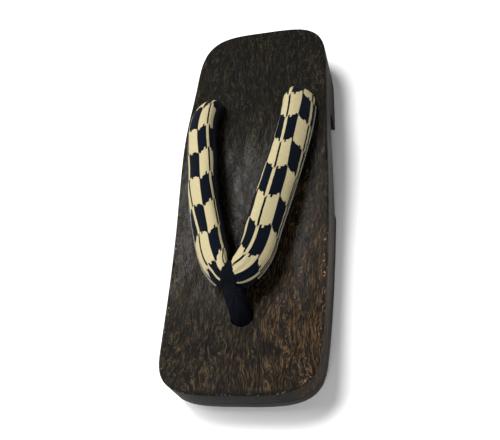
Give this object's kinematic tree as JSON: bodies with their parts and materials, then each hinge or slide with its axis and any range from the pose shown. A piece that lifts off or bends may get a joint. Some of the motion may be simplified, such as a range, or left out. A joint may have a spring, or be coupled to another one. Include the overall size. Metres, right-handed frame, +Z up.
{
  "type": "geta sandal",
  "caption": "Low wooden geta sandal with a heel block, rubber soles and a padded V strap of arrow-feather cotton held by a dark toe thong.",
  "frame": {"origin": "middle of the box on the floor: half way from heel to toe, on the centre plane, at the rubber's lowest face", "axes": "+Z up, +Y from toe to heel, so the toe points to -Y; +X to the wearer's left"},
  "size_m": [0.0918, 0.25, 0.0529],
  "materials": {
    "scorched_wood": "scorched, brushed paulownia with a thin satin wax",
    "sole_rubber": "matte black foamed rubber",
    "strap_cotton": "woven cotton in cream and navy arrow feathers, over soft padding",
    "dark_cloth": "napped black navy cloth"
  },
  "bodies": {
    "root": {"board": "scorched_wood", "forefoot_sole": "sole_rubber", "heel_sole": "sole_rubber", "strap": "strap_cotton", "toe_thong": "dark_cloth"}
  },
  "joints": []
}
